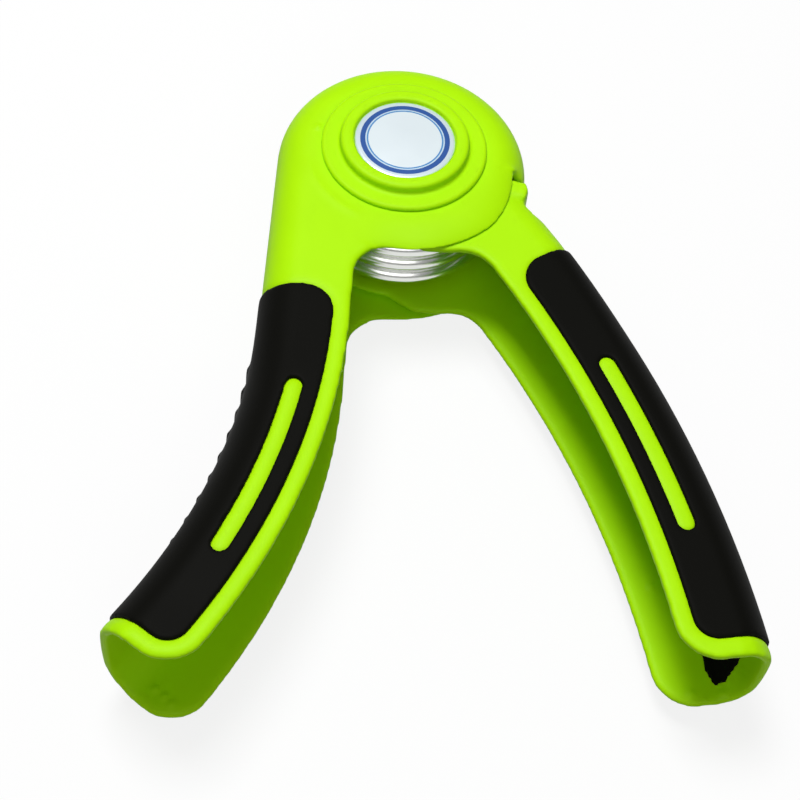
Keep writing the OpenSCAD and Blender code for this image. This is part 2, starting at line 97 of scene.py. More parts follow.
# Webs of the inner handle: the handle's width, the radius they reach from the pivot, their round
# into the open edge, their inner ends as angle in degrees and radius in millimetres, the angle on
# the bow where they end, and how far they lap over the plates
HANDLE_W = 17.1 * MM
WEB_DISC_R = 25.2 * MM
WEB_ROUND = 7 * MM
WEB_IN_R = 18.8 * MM
WEB_IN_A = (-42, -55, -68, -82, -94)
WEB_TIP = ((-94, 20.0), (-88, 21.6), (-81, 23.6))
WEB_BOW_A = 31.5
WEB_LAP = 1.6 * MM
# Moulding marks in the channels and on the head, in millimetres, and their height and radius
MARKS = {
    "left": [(-39.0, -108.9, 4.8), (-41.9, -106.2, 4.8), (-40.2, -107.6, 4.8), (-17.2, 4.3, 29.0)],
    "right": [(52.5, -105.0, 6.8), (55.4, -106.6, 6.8), (58.2, -104.8, 6.8), (47.0, -84.0, 6.8)],
}
MARK_H = 0.5 * MM
MARK_R = 1 * MM
# The low arc on the head's front: its angles and run-out in degrees, its radius, width and height
ARC_A = (-172, -112)
ARC_RUN_A = 12
ARC_R = 19.6 * MM
ARC_W = 0.9 * MM
ARC_H = 0.16 * MM
# Rubber that has come through the right foot's wall: its lowest angle in degrees for each depth
# across the channel, in millimetres from the closed wall's inner face and negative up that wall,
# its highest angle, its thickness, how far it may reach, and how far the skin may stray
ANCHOR_EDGE = [(-7.0, 9.9), (-3.7, 9.7), (-1.3, 9.5), (0.8, 9.3), (2.2, 9.07), (3.6, 9.08),
               (4.6, 9.0), (5.1, 9.3), (5.6, 9.9)]
ANCHOR_TOP_A = 11.6
ANCHOR_T = 0.4 * MM
ANCHOR_REACH = 8 * MM
ANCHOR_STRAY = 1.2 * MM
# Stop lug: where its slimming starts, the share of its height it keeps, its last angle and lean in
# degrees, the height of its slanted tip with the slant per degree, and where the lean begins and
# how far on it is full: across the depth, then outwards from the flat top; last its fade in degrees
LUG_FROM_R = 24 * MM
LUG_SLIM = 0.67
LUG_END_A = -22
LUG_LEAN_A = 3.8
LUG_TIP = 0.6 * MM
LUG_SLANT = 0.22 * MM
LUG_LEAN_FROM = 5 * MM
LUG_LEAN_RUN = 6 * MM
LUG_RISE_RUN = 4 * MM
LUG_FADE_A = 4

# Spring wire's route, as wound
WIRE_D = 3.6 * MM
COIL_R = 18.4 * MM
COIL_PITCH = 4.15 * MM
COIL_TURNS = 3
LEFT_LEG_A = math.radians(5.6)
LEFT_LEG_L = 46 * MM
RIGHT_LEG_A = math.radians(12)
RIGHT_LEG_L = 16 * MM
LEG_BEND_A = math.radians(18)
LEG_BEND_R = 20 * MM
RIGHT_TAIL_L = 26 * MM

# Camera: lens and place, and the three directions of its own frame
LENS = 76.5
SENSOR = 36.0
CAMERA_AT = Vector((-0.021124, -0.225986, 0.282770))
CAMERA_X = Vector((0.99695, -0.00185, 0.07806))
CAMERA_Y = Vector((-0.04113, 0.83735, 0.54512))
CAMERA_Z = Vector((-0.06637, -0.54666, 0.83472))

# Soft lamps: name, place, size and power; all aim at the same point
LAMPS = [
    ("key_softbox", (-0.12, 0.12, 0.76), 0.28, 5.3),
    ("front_softbox", (0.05, -0.7, 0.6), 0.5, 1.5),
]
LAMP_AIM = Vector((0, -0.04, 0))
# Floor: its size, how far it lies below the object, how much of it glows to the camera; the
# world's strength on the object, and the share of full white that gloss sees in it
FLOOR_SIZE = 6
FLOOR_DROP = 0.4 * MM
FLOOR_GLOW = 0.84
WORLD_FILL = 0.14
WORLD_GLOSS = 0.22


def flat_dir(angle):
    """Unit vector in the ground plane."""
    return Vector((math.cos(angle), math.sin(angle), 0))


def spoke(angle):
    """Unit vector in two dimensions, from an angle in degrees."""
    return flat_dir(math.radians(angle)).to_2d()


def polar(flat):
    """Radius and angle in degrees of a point in the ground plane."""
    return flat.length, math.degrees(math.atan2(flat.y, flat.x))


def linear(code):
    """An sRGB hex colour as the linear RGBA that Blender's shaders take."""
    parts = [int(code[i:i + 2], 16) / 255 for i in (1, 3, 5)]
    bent = [c / 12.92 if c <= 0.04045 else ((c + 0.055) / 1.055) ** 2.4 for c in parts]
    return (*bent, 1.0)


# ---------------------------------------------------------------- settings


class GripShape(bpy.types.PropertyGroup):
    """Sizes that the finish adds to the construction"""

    shell_grid: FloatProperty(
        name="Shell grid", description="Size of the quads on the two handles",
        default=0.54 * MM, min=0.5 * MM, max=1.0 * MM, unit="LENGTH")
    skin_grid: FloatProperty(
        name="Skin grid", description="Size of the quads on the two grips",
        default=0.35 * MM, min=0.3 * MM, max=1.0 * MM, unit="LENGTH")
    cap_grid: FloatProperty(
        name="Cap grid", description="Size of the quads on the caps",
        default=0.3 * MM, min=0.2 * MM, max=0.6 * MM, unit="LENGTH")
    badge_grid: FloatProperty(
        name="Badge grid", description="Size of the quads on the badge",
        default=0.2 * MM, min=0.15 * MM, max=0.4 * MM, unit="LENGTH")
    crown: FloatProperty(
        name="Crown", description="How far the closed walls fall back towards the two faces",
        default=1.2 * MM, min=0.0, max=2 * MM, unit="LENGTH")
    rim_fall: FloatProperty(
        name="Rim fall", description="How far the head's free rim bends down",
        default=1.4 * MM, min=0.0, max=1.5 * MM, unit="LENGTH")
    relax: IntProperty(
        name="Moulding softness", description="Smoothing rounds that round the moulded edges",
        default=8, min=1, max=20)
    cap_relax: IntProperty(
        name="Cap softness", description="Smoothing rounds that round the caps' steps",
        default=4, min=1, max=20)
    grip_relax: IntProperty(
        name="Grip softness", description="Smoothing rounds that round the grips' edges",
        default=7, min=1, max=20)
    wire_sides: IntProperty(
        name="Wire sides", description="Faces round the spring wire", default=24, min=8, max=48)
    wire_step: FloatProperty(
        name="Wire step", description="Turn between two rings of the coil",
        default=math.radians(3), min=math.radians(1), max=math.radians(12), subtype="ANGLE")
    dome: FloatProperty(
        name="Badge dome", description="Height of the clear dome over the badge",
        default=0.2 * MM, min=0.0, max=0.6 * MM, unit="LENGTH")


class GripColours(bpy.types.PropertyGroup):
    """Colours of the object's materials"""

    shell: FloatVectorProperty(
        name="Shell", description="Moulded handles and caps", subtype="COLOR", size=4,
        min=0, max=1, default=linear("#B1F000"))
    shell_deep: FloatVectorProperty(
        name="Shell flow", description="Darker flow marks in the moulding", subtype="COLOR", size=4,
        min=0, max=1, default=linear("#A8E600"))
    rubber: FloatVectorProperty(
        name="Rubber", description="Soft grips", subtype="COLOR", size=4,
        min=0, max=1, default=linear("#0B0B08"))
    ink: FloatVectorProperty(
        name="Ring ink", description="Outer ring of the badge", subtype="COLOR", size=4,
        min=0, max=1, default=linear("#1C52A0"))
    ink_light: FloatVectorProperty(
        name="Inner ring ink", description="Inner ring of the badge", subtype="COLOR", size=4,
        min=0, max=1, default=linear("#4A8FCC"))
    floor: FloatVectorProperty(
        name="Floor", description="Floor and backdrop", subtype="COLOR", size=4,
        min=0, max=1, default=linear("#F4F4F4"))


# ---------------------------------------------------------------- materials


def add(tree, kind, feeds=None, **settings):
    """Adds one shader node: settings are its attributes, feeds its inputs' values or links."""
    made = tree.nodes.new(kind)
    for name, value in settings.items():
        setattr(made, name, value)
    for name, value in (feeds or {}).items():
        socket = made.inputs[name]
        if isinstance(value, bpy.types.NodeSocket):
            tree.links.new(value, socket)
        else:
            socket.default_value = value
    return made


def blank(name):
    """A new material with only a shader and an output: returns material, node tree and shader."""
    material = bpy.data.materials.new(name)
    material.use_nodes = True
    tree = material.node_tree
    tree.nodes.clear()
    shader = add(tree, "ShaderNodeBsdfPrincipled")
    add(tree, "ShaderNodeOutputMaterial", {"Surface": shader.outputs[0]})
    return material, tree, shader


def wire_up(tree, shader, **outputs):
    """Links outputs to the shader's sockets, whose names have underscores for spaces here."""
    for name, output in outputs.items():
        tree.links.new(output, shader.inputs[name.replace("_", " ")])


def per_mm(size):
    """Scale of a pattern whose features are size millimetres across."""
    return 1 / (size * MM)


def moulded_nylon():
    """Injection-moulded nylon: a semi-gloss skin, with flow marks and a faint orange peel."""
    colours = bpy.context.scene.grip_colours
    material, tree, shader = blank("moulded_lime_nylon")
    place = add(tree, "ShaderNodeTexCoord").outputs["Object"]
    flow = add(tree, "ShaderNodeTexNoise", {"Vector": place, "Scale": per_mm(26), "Detail": 2.0,
                                            "Distortion": 1.2})
    tint = add(tree, "ShaderNodeMix", {0: flow.outputs["Fac"], 6: tuple(colours.shell),
                                       7: tuple(colours.shell_deep)}, data_type="RGBA")
    # A real peel is finer than this, and is drawn coarser so that it shows
    peel = add(tree, "ShaderNodeTexNoise", {"Vector": place, "Scale": per_mm(1.6), "Detail": 3.0})
    sink = add(tree, "ShaderNodeTexNoise", {"Vector": place, "Scale": per_mm(14), "Detail": 1.0})
    rough = add(tree, "ShaderNodeMapRange", {"Value": peel.outputs["Fac"], "To Min": 0.44,
                                             "To Max": 0.56})
    fine = add(tree, "ShaderNodeBump", {"Height": peel.outputs["Fac"], "Strength": 0.25,
                                        "Distance": 0.03 * MM})
    broad = add(tree, "ShaderNodeBump", {"Height": sink.outputs["Fac"], "Strength": 0.5,
                                         "Distance": 0.25 * MM, "Normal": fine.outputs[0]})
    wire_up(tree, shader, Base_Color=tint.outputs[2], Roughness=rough.outputs[0],
            Normal=broad.outputs[0])
    shader.inputs["IOR"].default_value = 1.53
    shader.inputs["Specular IOR Level"].default_value = 0.1
    shader.inputs["Subsurface Weight"].default_value = 0.06
    shader.inputs["Subsurface Radius"].default_value = (1.0, 1.0, 0.2)
    shader.inputs["Subsurface Scale"].default_value = 1.2 * MM
    return material


def soft_rubber():
    """Overmoulded thermoplastic rubber: a satin black skin with a fine spark-eroded grain."""
    colours = bpy.context.scene.grip_colours
    material, tree, shader = blank("satin_black_rubber")
    place = add(tree, "ShaderNodeTexCoord").outputs["Object"]
    # Spark-eroded grain is about 0.1 mm, and is drawn coarser so that it shows
    grain = add(tree, "ShaderNodeTexNoise", {"Vector": place, "Scale": per_mm(0.55), "Detail": 2.0})
    cloud = add(tree, "ShaderNodeTexNoise", {"Vector": place, "Scale": per_mm(18), "Detail": 3.0})
    rough = add(tree, "ShaderNodeMapRange", {"Value": cloud.outputs["Fac"], "To Min": 0.52,
                                             "To Max": 0.64})
    bump = add(tree, "ShaderNodeBump", {"Height": grain.outputs["Fac"], "Strength": 0.35,
                                        "Distance": 0.04 * MM})
    wire_up(tree, shader, Roughness=rough.outputs[0], Normal=bump.outputs[0])
    shader.inputs["Base Color"].default_value = tuple(colours.rubber)
    shader.inputs["IOR"].default_value = 1.5
    shader.inputs["Specular IOR Level"].default_value = 0.04
    return material


def drawn_wire():
    """Bright plated spring wire: drawn through a die, so fine lines run along it."""
    material, tree, shader = blank("drawn_spring_steel")
    along = add(tree, "ShaderNodeAttribute", attribute_name="wire").outputs["Vector"]
    # Lines of about a quarter millimetre; a die's own are finer, and are drawn coarser to show
    stretch = add(tree, "ShaderNodeMapping", {"Vector": along, "Scale": (7.0, 7.0, 9.0)})
    lines = add(tree, "ShaderNodeTexNoise", {"Vector": stretch.outputs[0], "Scale": 1.0,
                                             "Detail": 4.0})
    rough = add(tree, "ShaderNodeMapRange", {"Value": lines.outputs["Fac"], "To Min": 0.16,
                                             "To Max": 0.3})
    bump = add(tree, "ShaderNodeBump", {"Height": lines.outputs["Fac"], "Strength": 0.25,
                                        "Distance": 0.02 * MM})
    wire_up(tree, shader, Roughness=rough.outputs[0], Normal=bump.outputs[0])
    shader.inputs["Base Color"].default_value = linear("#E6E7E3")
    shader.inputs["Metallic"].default_value = 1.0
    return material


def zinc_steel():
    """Turned and zinc-plated steel: fine rings from the lathe under a slightly mottled plating."""
    material, tree, shader = blank("zinc_plated_steel")
    place = add(tree, "ShaderNodeTexCoord").outputs["Object"]
    # A lathe's rings are finer than these, and are drawn coarser so that they show
    rings = add(tree, "ShaderNodeTexWave", {"Vector": place, "Scale": per_mm(1.6),
                                            "Distortion": 0.6, "Detail": 2.0},
                wave_type="RINGS", rings_direction="Z")
    mottle = add(tree, "ShaderNodeTexNoise", {"Vector": place, "Scale": per_mm(2.5), "Detail": 3.0})
    tint = add(tree, "ShaderNodeMix", {0: mottle.outputs["Fac"], 6: linear("#B9BABA"),
                                       7: linear("#C9C7BE")}, data_type="RGBA")
    rough = add(tree, "ShaderNodeMapRange", {"Value": mottle.outputs["Fac"], "To Min": 0.28,
                                             "To Max": 0.42})
    bump = add(tree, "ShaderNodeBump", {"Height": rings.outputs["Fac"], "Strength": 0.3,
                                        "Distance": 0.02 * MM})
    wire_up(tree, shader, Base_Color=tint.outputs[2], Roughness=rough.outputs[0],
            Normal=bump.outputs[0])
    shader.inputs["Metallic"].default_value = 1.0
    return material


def plain_moulding(name, low, high, rough_low, rough_high):
    """Unpainted moulded plastic inside the head: matt, with the mould's fine spark texture."""
    material, tree, shader = blank(name)
    place = add(tree, "ShaderNodeTexCoord").outputs["Object"]
    # The real texture is about 0.1 mm, and is drawn coarser so that it shows
    grain = add(tree, "ShaderNodeTexNoise", {"Vector": place, "Scale": per_mm(0.8), "Detail": 3.0})
    tint = add(tree, "ShaderNodeMix", {0: grain.outputs["Fac"], 6: linear(low), 7: linear(high)},
               data_type="RGBA")
    rough = add(tree, "ShaderNodeMapRange", {"Value": grain.outputs["Fac"], "To Min": rough_low,
                                             "To Max": rough_high})
    bump = add(tree, "ShaderNodeBump", {"Height": grain.outputs["Fac"], "Strength": 0.3,
                                        "Distance": 0.03 * MM})
    wire_up(tree, shader, Base_Color=tint.outputs[2], Roughness=rough.outputs[0],
            Normal=bump.outputs[0])
    return material


def printed_foil():
    """Printed aluminium foil: a bright silver-white disc with two plain blue rings in ink."""
    colours = bpy.context.scene.grip_colours
    material, tree, shader = blank("printed_aluminium_foil")
    place = add(tree, "ShaderNodeTexCoord").outputs["Object"]
    flat = add(tree, "ShaderNodeVectorMath", {0: place, 1: (1.0, 1.0, 0.0)}, operation="MULTIPLY")
    radius = add(tree, "ShaderNodeVectorMath", {0: flat.outputs[0]}, operation="LENGTH")
    share = add(tree, "ShaderNodeMath", {0: radius.outputs["Value"], 1: BADGE_R},
                operation="DIVIDE")
    ramp = add(tree, "ShaderNodeValToRGB", {"Fac": share.outputs[0]})
    bands = [(0.0, linear("#E2EDF2")), (0.725, tuple(colours.ink_light)),
             (0.755, linear("#C3DAEA")), (0.785, tuple(colours.ink)), (0.885, linear("#CFDEE8"))]
    steps = ramp.color_ramp
    steps.interpolation = "CONSTANT"
    while len(steps.elements) < len(bands):
        steps.elements.new(0.5)
    for element, (at, colour) in zip(steps.elements, bands):
        element.position = at
        element.color = colour
    brushed = add(tree, "ShaderNodeTexNoise", {"Vector": place, "Scale": per_mm(6), "Detail": 2.0})
    rough = add(tree, "ShaderNodeMapRange", {"Value": brushed.outputs["Fac"], "To Min": 0.25,
                                             "To Max": 0.4})
    wire_up(tree, shader, Base_Color=ramp.outputs[0], Roughness=rough.outputs[0])
    shader.inputs["Metallic"].default_value = 0.2
    shader.inputs["Coat Weight"].default_value = 0.8
    shader.inputs["Coat Roughness"].default_value = 0.06
    return material


# ---------------------------------------------------------------- modelling helpers


def only(piece):
    """Makes piece the one selected and active object."""
    bpy.ops.object.select_all(action="DESELECT")
    piece.select_set(True)
    bpy.context.view_layer.objects.active = piece


def dress(piece, material):
    """Gives the whole piece one material."""
    piece.data.materials.clear()
    piece.data.materials.append(material)
    for face in piece.data.polygons:
        face.material_index = 0


def copy_of(node, name):
    """A welded copy of a CAD node's mesh."""
    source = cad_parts[node]
    piece = bpy.data.objects.new(name, source.data.copy())
    bpy.context.scene.collection.objects.link(piece)
    only(piece)
    bpy.ops.object.mode_set(mode="EDIT")
    bpy.ops.mesh.select_all(action="SELECT")
    bpy.ops.mesh.remove_doubles(threshold=0.002 * MM)
    bpy.ops.object.mode_set(mode="OBJECT")
    return piece


def flat_piece(name, outline, low, thick):
    """A flat piece from its outline in the ground plane, its lower face's height and thickness."""
    bpy.ops.object.select_all(action="DESELECT")
    bpy.ops.mesh.primitive_circle_add(vertices=len(outline), fill_type="NGON")
    piece = bpy.context.object
    piece.name = name
    for vertex, (x, y) in zip(piece.data.vertices, outline):
        vertex.co = (x, y, low)
    bpy.ops.object.mode_set(mode="EDIT")
    bpy.ops.mesh.select_all(action="SELECT")
    bpy.ops.mesh.extrude_region_move(TRANSFORM_OT_translate={"value": (0, 0, thick)})
    bpy.ops.mesh.select_all(action="SELECT")
    bpy.ops.mesh.normals_make_consistent(inside=False)
    bpy.ops.object.mode_set(mode="OBJECT")
    return piece


def moulded_copy(node, name, grid, rounds, extras=()):
    """A copy as it leaves the mould, one with the extras: an even skin of quads with soft edges."""
    piece = copy_of(node, name)
    for extra in extras:
        extra.select_set(True)
    if extras:
        bpy.ops.object.join()
    remesh = piece.modifiers.new("even_skin", "REMESH")
    remesh.mode = "VOXEL"
    remesh.voxel_size = grid
    bpy.ops.object.modifier_apply(modifier=remesh.name)
    bpy.ops.object.mode_set(mode="EDIT")
    bpy.ops.mesh.select_all(action="SELECT")
    bpy.ops.mesh.vertices_smooth(factor=0.5, repeat=rounds)
    bpy.ops.object.mode_set(mode="OBJECT")
    bpy.ops.object.shade_smooth()
    return piece


def ease(share):
    """Smooth step from 0 to 1."""
    share = min(1, max(0, share))
    return share * share * (3 - 2 * share)


def crown(piece, side, amount):
    """Lets the closed wall's two sides fall back, so that the wall is crowned across its depth."""
    centre, wall_r, inwards, (full_a, end_a), half = BOWS[side]
    for vertex in piece.data.vertices:
        out = vertex.co.to_2d() - centre
        radius, angle = polar(out)
        depth = (radius - wall_r) * inwards
        if depth > CROWN_REACH or angle > end_a or radius < wall_r * 0.9:
            continue
        share = ((vertex.co.z - MID) / half) ** 2 * ease(1 - depth / CROWN_REACH)
        share *= ease((end_a - angle) / (end_a - full_a))
        move = out.normalized() * inwards * amount * min(CROWN_MOST, share)
        vertex.co += Vector((move.x, move.y, 0))


def anchor_patch(shell):
    """The patch of rubber that has come through the right handle's wall, laid on its inner skin."""
    centre, wall_r, _, _, half = BOWS["right"]
    only(shell)
    bpy.ops.object.duplicate()
    patch = bpy.context.object
    patch.name = "right_anchor"
    bpy.ops.object.mode_set(mode="EDIT")
    bpy.ops.mesh.select_mode(type="FACE")
    bpy.ops.mesh.select_all(action="DESELECT")
    bpy.ops.object.mode_set(mode="OBJECT")
    inner_r = wall_r - DISC_T
    floor_z = MID - half + DISC_T
    for face in patch.data.polygons:
        out = face.center.to_2d() - centre
        radius, angle = polar(out)
        up, in_by = face.center.z - floor_z, inner_r - radius
        inward = face.normal.z - face.normal.to_2d().dot(out.normalized()) > 0.2
        near = all(-ANCHOR_STRAY < away < ANCHOR_REACH for away in (up, in_by))
        depth = (in_by - up) / MM
        low = ANCHOR_TOP_A
        for (depth_a, low_a), (depth_b, low_b) in zip(ANCHOR_EDGE, ANCHOR_EDGE[1:]):
            if depth_a <= depth < depth_b:
                low = low_a + (low_b - low_a) * (depth - depth_a) / (depth_b - depth_a)
        face.select = not (inward and near and low < angle < ANCHOR_TOP_A)
    bpy.ops.object.mode_set(mode="EDIT")
    bpy.ops.mesh.delete(type="FACE")
    bpy.ops.mesh.select_all(action="SELECT")
    bpy.ops.mesh.delete_loose()
    bpy.ops.mesh.select_mode(type="VERT")
    bpy.ops.mesh.select_all(action="DESELECT")
    bpy.ops.mesh.select_non_manifold(extend=False)
    bpy.ops.mesh.vertices_smooth(factor=0.5, repeat=3)
    bpy.ops.object.mode_set(mode="OBJECT")
    wall = patch.modifiers.new("thickness", "SOLIDIFY")
    wall.thickness = ANCHOR_T
    wall.offset = 0.2
    bpy.ops.object.modifier_apply(modifier=wall.name)
    return patch


def crotch_webs():
    """Flat webs that carry the inner handle's plates round into its open edge, front and back."""
    centre, wall_r, _, _, half = BOWS["right"]
    edge_r = wall_r - HANDLE_W
    round_r, run_r = WEB_DISC_R + WEB_ROUND, edge_r - WEB_ROUND
    apart = centre.length
    along = (round_r ** 2 - run_r ** 2 + apart ** 2) / (2 * apart)
    across = math.sqrt(round_r ** 2 - along ** 2)
    axis = centre / apart
    hub = along * axis + across * Vector((-axis.y, axis.x))
    start, end = polar(-hub)[1], polar(hub - centre)[1]
    steps = 12
    outline = [hub + WEB_ROUND * spoke(start + (end - start) * i / steps) for i in range(steps + 1)]
    outline += [centre + (edge_r + WEB_LAP) * spoke(WEB_BOW_A)]
    outline += [WEB_IN_R * spoke(angle) for angle in WEB_IN_A]
    outline += [radius * MM * spoke(angle) for angle, radius in WEB_TIP]
    lows = (MID + half - DISC_T, MID - half)
    return [flat_piece("crotch_web", outline, low, DISC_T) for low in lows]


def raise_marks(shell, side):
    """Small round marks, such as ejector pins and a gate leave in a moulding."""
    for vertex in shell.data.vertices:
        for mark in MARKS[side]:
            away = (vertex.co - Vector(mark) * MM).length
            if away < MARK_R:
                vertex.co.z += MARK_H * ease(1 - away / MARK_R)


def raise_arc(shell):
    """The low curved step on the head's front, beside the cap."""
    low_a, high_a = ARC_A
    for vertex in shell.data.vertices:
        radius, angle = polar(vertex.co.to_2d())
        if vertex.co.z < MID + DISC_IN + MM or not low_a < angle < high_a:
            continue
        gate = ease((angle - low_a) / ARC_RUN_A) * ease((high_a - angle) / ARC_RUN_A)
        vertex.co.z += ARC_H * gate * math.exp(-((radius - ARC_R) / ARC_W) ** 2)


def droop_rim(shell, fall):
    """Bends the free disc's rim down into the drum's round shoulder, on both faces."""
    full_a, end_a = FALL_OUT_A
    for vertex in shell.data.vertices:
        flat = vertex.co.to_2d()
        radius, angle = polar(flat)
        height = abs(vertex.co.z - MID)
        if not (end_a < angle < NOTCH_A and TOP_R < radius < DISC_R + MM):
            continue
        if height < DISC_IN - 0.6 * MM:
            continue
        narrow = ease((angle - RIM_FULL_A) / (NOTCH_A - RIM_FULL_A))
        rim_r = DISC_R - (DISC_R - RIM_NOTCH_R) * narrow
        share = (radius - TOP_R) / (DISC_R - TOP_R)
        run_out = ease((angle - end_a) / (full_a - end_a))
        flat *= (TOP_R + (rim_r - TOP_R) * share) / radius
        level = 1 - min(RIM_LOSS, fall / DISC_T * share ** 2) * run_out
        height = DISC_IN + (height - DISC_IN) * level
        vertex.co = (flat.x, flat.y, MID + math.copysign(height, vertex.co.z - MID))


def soften_notch(shell):
    """Rounds the corner that the bent rim leaves beside the drum's notch, on both faces."""
    for vertex in shell.data.vertices:
        radius, angle = polar(vertex.co.to_2d())
        beside = abs(angle - NOTCH_A) < NOTCH_SPAN and radius > RIM_NOTCH_R - NOTCH_IN
        vertex.select = beside and abs(vertex.co.z - MID) > DISC_IN - NOTCH_DOWN
    for part in (*shell.data.edges, *shell.data.polygons):
        part.select = False
    only(shell)
    bpy.ops.object.mode_set(mode="EDIT")
    bpy.ops.mesh.vertices_smooth(factor=0.5, repeat=8)
    bpy.ops.object.mode_set(mode="OBJECT")


def lean_lug(shell):
    """Slims the stop lug and leans its end back towards both faces."""
    for vertex in shell.data.vertices:
        radius, angle = polar(vertex.co.to_2d())
        if not (LUG_END_A - LUG_FADE_A < angle < 0 and radius > TOP_R):
            continue
        height = abs(vertex.co.z - MID)
        lean = ease((height - LUG_LEAN_FROM) / LUG_LEAN_RUN) * ease((radius - TOP_R) / LUG_RISE_RUN)
        lean *= min(1, max(0, (angle - LUG_END_A) / (NOTCH_A - LUG_END_A)))
        if radius > LUG_FROM_R:
            slim = LUG_SLIM + (1 - LUG_SLIM) * ease((LUG_END_A - angle) / LUG_FADE_A)
            radius = LUG_FROM_R + (radius - LUG_FROM_R) * slim
            slant = LUG_FROM_R + LUG_TIP + LUG_SLANT * (NOTCH_A - angle)
            radius = min(radius, max(LUG_FROM_R, slant))
        flat = radius * spoke(angle - LUG_LEAN_A * lean)
        vertex.co = (flat.x, flat.y, vertex.co.z)


def finish_piece(piece, body, slot, material, *nodes):
    """Rides, dresses and replaces in one go."""
    dress(piece, material)
    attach(piece, body)
    if nodes:
        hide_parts(*nodes)


class HANDGRIP_OT_handles(bpy.types.Operator):
    """Round and finish the two moulded channel handles"""

    bl_idname = "handgrip.handles"
    bl_label = "Handles"

    def execute(self, context):
        shape = context.scene.grip_shape
        nylon = moulded_nylon()
        for side in ("left", "right"):
            webs = crotch_webs() if side == "right" else ()
            shell = moulded_copy(side + "_handle", side + "_shell", shape.shell_grid,
                                 shape.relax, webs)
            crown(shell, side, shape.crown)
            raise_marks(shell, side)
            if side == "left":
                droop_rim(shell, shape.rim_fall)
                soften_notch(shell)
                raise_arc(shell)
            else:
                lean_lug(shell)
            finish_piece(shell, side + "_body", "lime_plastic", nylon, side + "_handle")
        for side in ("front", "back"):
            cap = moulded_copy(side + "_cap", side + "_cover", shape.cap_grid, shape.cap_relax)
            finish_piece(cap, "left_body", "lime_plastic", nylon, side + "_cap")
        return {"FINISHED"}


class HANDGRIP_OT_grips(bpy.types.Operator):
    """Round and finish the two soft grips"""

    bl_idname = "handgrip.grips"
    bl_label = "Grips"

    def execute(self, context):
        shape = context.scene.grip_shape
        rubber = soft_rubber()
        for side in ("left", "right"):
            skin = moulded_copy(side + "_grip", side + "_skin", shape.skin_grid, shape.grip_relax)
            crown(skin, side, shape.crown)
            finish_piece(skin, side + "_body", "black_tpr", rubber, side + "_grip")
        anchor = anchor_patch(bpy.data.objects["right_shell"])
        finish_piece(anchor, "right_body", "black_tpr", rubber)
        return {"FINISHED"}


def wire_route(step):
    """The wire's middle line: left leg, coil, right leg with its bend."""
    start_a = math.pi - LEFT_LEG_A
    sweep = start_a - RIGHT_LEG_A + 2 * math.pi * COIL_TURNS
    half_rise = sweep / (2 * math.pi) * COIL_PITCH / 2
    rings = math.ceil(sweep / step)
    low = Vector((0, 0, MID - half_rise))
    high = Vector((0, 0, MID + half_rise))
    leg_dir = flat_dir(start_a + math.pi / 2)
    leg_end = COIL_R * flat_dir(start_a) + low
    legs = 16
    points = [leg_end + leg_dir * LEFT_LEG_L * (1 - i / legs) for i in range(legs)]
    for i in range(rings + 1):
        share = i / rings
        points.append(COIL_R * flat_dir(start_a - sweep * share) + low.lerp(high, share))
    knee = COIL_R * flat_dir(RIGHT_LEG_A) + high + RIGHT_LEG_L * flat_dir(RIGHT_LEG_A - math.pi / 2)
    centre = knee + LEG_BEND_R * flat_dir(RIGHT_LEG_A)
    bends = 8
    points += [knee - (knee - points[-1]) * (1 - i / bends) for i in range(1, bends)]
    for i in range(bends + 1):
        points.append(centre - LEG_BEND_R * flat_dir(RIGHT_LEG_A + LEG_BEND_A * i / bends))
    tail = RIGHT_TAIL_L * flat_dir(RIGHT_LEG_A + LEG_BEND_A - math.pi / 2)
    bend_end = points[-1]
    points += [bend_end + tail * i / bends for i in range(1, bends + 1)]
    return points, low.z, high.z


class HANDGRIP_OT_spring(bpy.types.Operator):
    """Wind the torsion spring from one length of drawn wire"""

    bl_idname = "handgrip.spring"
    bl_label = "Spring"

    def execute(self, context):
        shape = context.scene.grip_shape
        points, low, high = wire_route(shape.wire_step)
        bpy.ops.object.select_all(action="DESELECT")
        bpy.ops.curve.primitive_bezier_curve_add(enter_editmode=False)
        spring = context.object
        spring.name = "coil_spring"
        curve = spring.data
        curve.splines.clear()
        spline = curve.splines.new("POLY")
        spline.points.add(len(points) - 1)
        for point, at in zip(spline.points, points):
            point.co = (*at, 1)
        curve.dimensions = "3D"
        curve.twist_mode = "Z_UP"
        curve.bevel_depth = WIRE_D / 2
        curve.bevel_resolution = (shape.wire_sides - 4) // 2
        curve.use_fill_caps = True
        bpy.ops.object.convert(target="MESH")
        spring = context.object
        sides = len(spring.data.vertices) // len(points)
        wound = spring.data.attributes.new("wire", "FLOAT_VECTOR", "POINT")
        for i, entry in enumerate(wound.data):
            turn = 2 * math.pi * (i % sides) / sides
            entry.vector = (math.cos(turn), math.sin(turn), i // sides / len(points))
        only(spring)
        bpy.ops.object.shade_smooth()
        dress(spring, drawn_wire())
        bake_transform(spring)
        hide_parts("torsion_spring")
        return {"FINISHED"}


class HANDGRIP_OT_badge(bpy.types.Operator):
    """Print the plain ringed badge"""

    bl_idname = "handgrip.badge"
    bl_label = "Badge"

    def execute(self, context):
        shape = context.scene.grip_shape
        badge = moulded_copy("front_badge", "ringed_badge", shape.badge_grid, shape.grip_relax)
        for vertex in badge.data.vertices:
            share = min(1, vertex.co.to_2d().length / BADGE_R)
            lift = (vertex.co.z - BADGE_LOW.z) / (BADGE_HIGH.z - BADGE_LOW.z)
            vertex.co.z += shape.dome * (1 - share ** 2) * max(0, lift)
        finish_piece(badge, "left_body", "badge_metal", printed_foil(), "front_badge")
        return {"FINISHED"}


